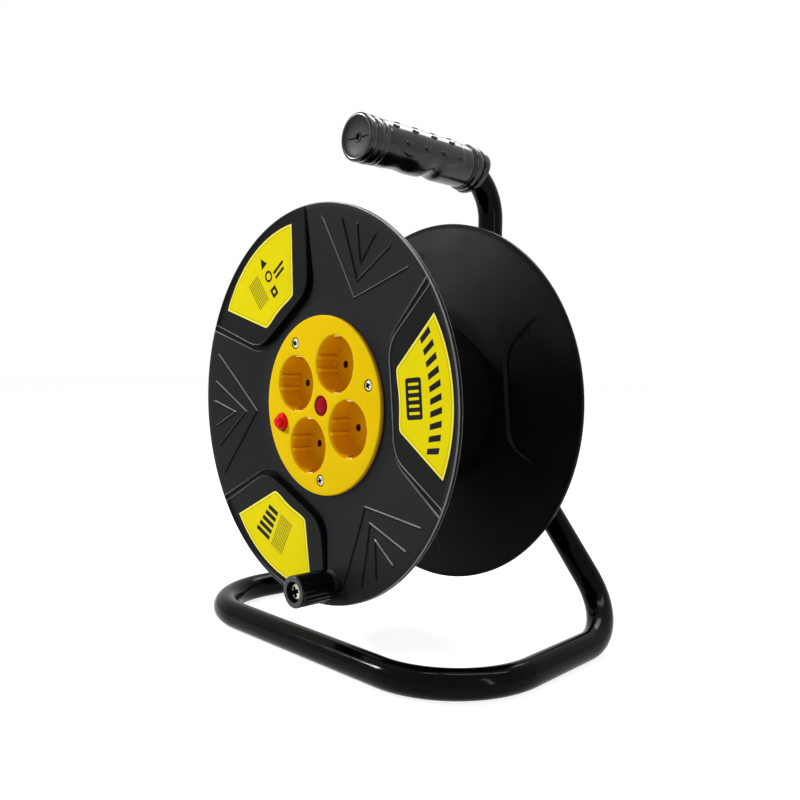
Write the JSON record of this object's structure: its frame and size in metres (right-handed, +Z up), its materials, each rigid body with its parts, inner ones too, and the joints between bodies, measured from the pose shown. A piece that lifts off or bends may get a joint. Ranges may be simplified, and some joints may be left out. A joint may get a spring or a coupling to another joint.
{
  "type": "extension cord reel",
  "caption": "Extension cord reel: a flanged drum with a round panel of plug sockets turns on a bent-tube floor stand with a carrying handle.",
  "frame": {"origin": "on the floor, under the middle of the reel's box", "axes": "+X to the right of the socket panel, +Y from the panel to the rear, +Z up; the axle runs along Y"},
  "size_m": [0.3118, 0.2184, 0.3791],
  "materials": {
    "gloss_tube": "high-gloss black enamel",
    "grip_rubber": "semi-gloss black moulded grip",
    "drum_plastic": "satin black, fine moulded texture",
    "panel_plastic": "semi-gloss yellow",
    "label_print": "printed yellow label",
    "knob_plastic": "satin black",
    "zinc_steel": "bright zinc plating",
    "turned_steel": "turned steel",
    "contact_brass": "stamped brass",
    "bush_plastic": "natural acetal",
    "inner_plastic": "white moulded plastic",
    "cutout_plastic": "black moulded plastic",
    "button_plastic": "glossy red",
    "lens_plastic": "clear dark red",
    "lamp_glass": "clear glass",
    "grommet_rubber": "black rubber"
  },
  "bodies": {
    "frame": {"floor_loop": "gloss_tube", "handle_tube": "gloss_tube", "handle_grip": "grip_rubber", "axle_bracket": "gloss_tube", "axle": "turned_steel", "axle_spacer": "gloss_tube", "thrust_washer": "zinc_steel", "retaining_washer": "zinc_steel", "axle_screw": "zinc_steel"},
    "drum": {"front_flange": "drum_plastic", "rear_flange": "drum_plastic", "drum_core": "drum_plastic", "flange_screws": "zinc_steel", "front_bush": "bush_plastic", "rear_bush": "bush_plastic", "label_right": "label_print", "label_upper": "label_print", "label_lower": "label_print", "socket_panel": "panel_plastic", "panel_screws": "zinc_steel", "earth_clips": "contact_brass", "contact_carrier": "inner_plastic", "live_strip": "contact_brass", "neutral_strip": "contact_brass", "thermal_cutout": "cutout_plastic", "indicator_lens": "lens_plastic", "indicator_lamp": "lamp_glass", "terminal_block": "inner_plastic", "cord_grommet": "grommet_rubber", "cord_clamp": "cutout_plastic", "clamp_screws": "zinc_steel", "knob_screw": "zinc_steel", "knob_nut": "zinc_steel"},
    "knob": {"winding_knob": "knob_plastic"},
    "button": {"reset_button": "button_plastic"}
  },
  "joints": [
    {"name": "drum_spin", "type": "hinge", "parent": "frame", "child": "drum", "pos_m": [0, -0.0798, 0.1747], "axis": [0, 1, 0], "continuous": true},
    {"name": "knob_spin", "type": "hinge", "parent": "drum", "child": "knob", "pos_m": [0.01754, -0.0822, 0.05296], "axis": [0, 1, 0], "continuous": true},
    {"name": "button_press", "type": "slide", "parent": "drum", "child": "button", "axis": [0, 1, 0], "range_m": [0, 0.0025], "stiffness_N_per_m": 400, "springref_m": -0.002}
  ]
}
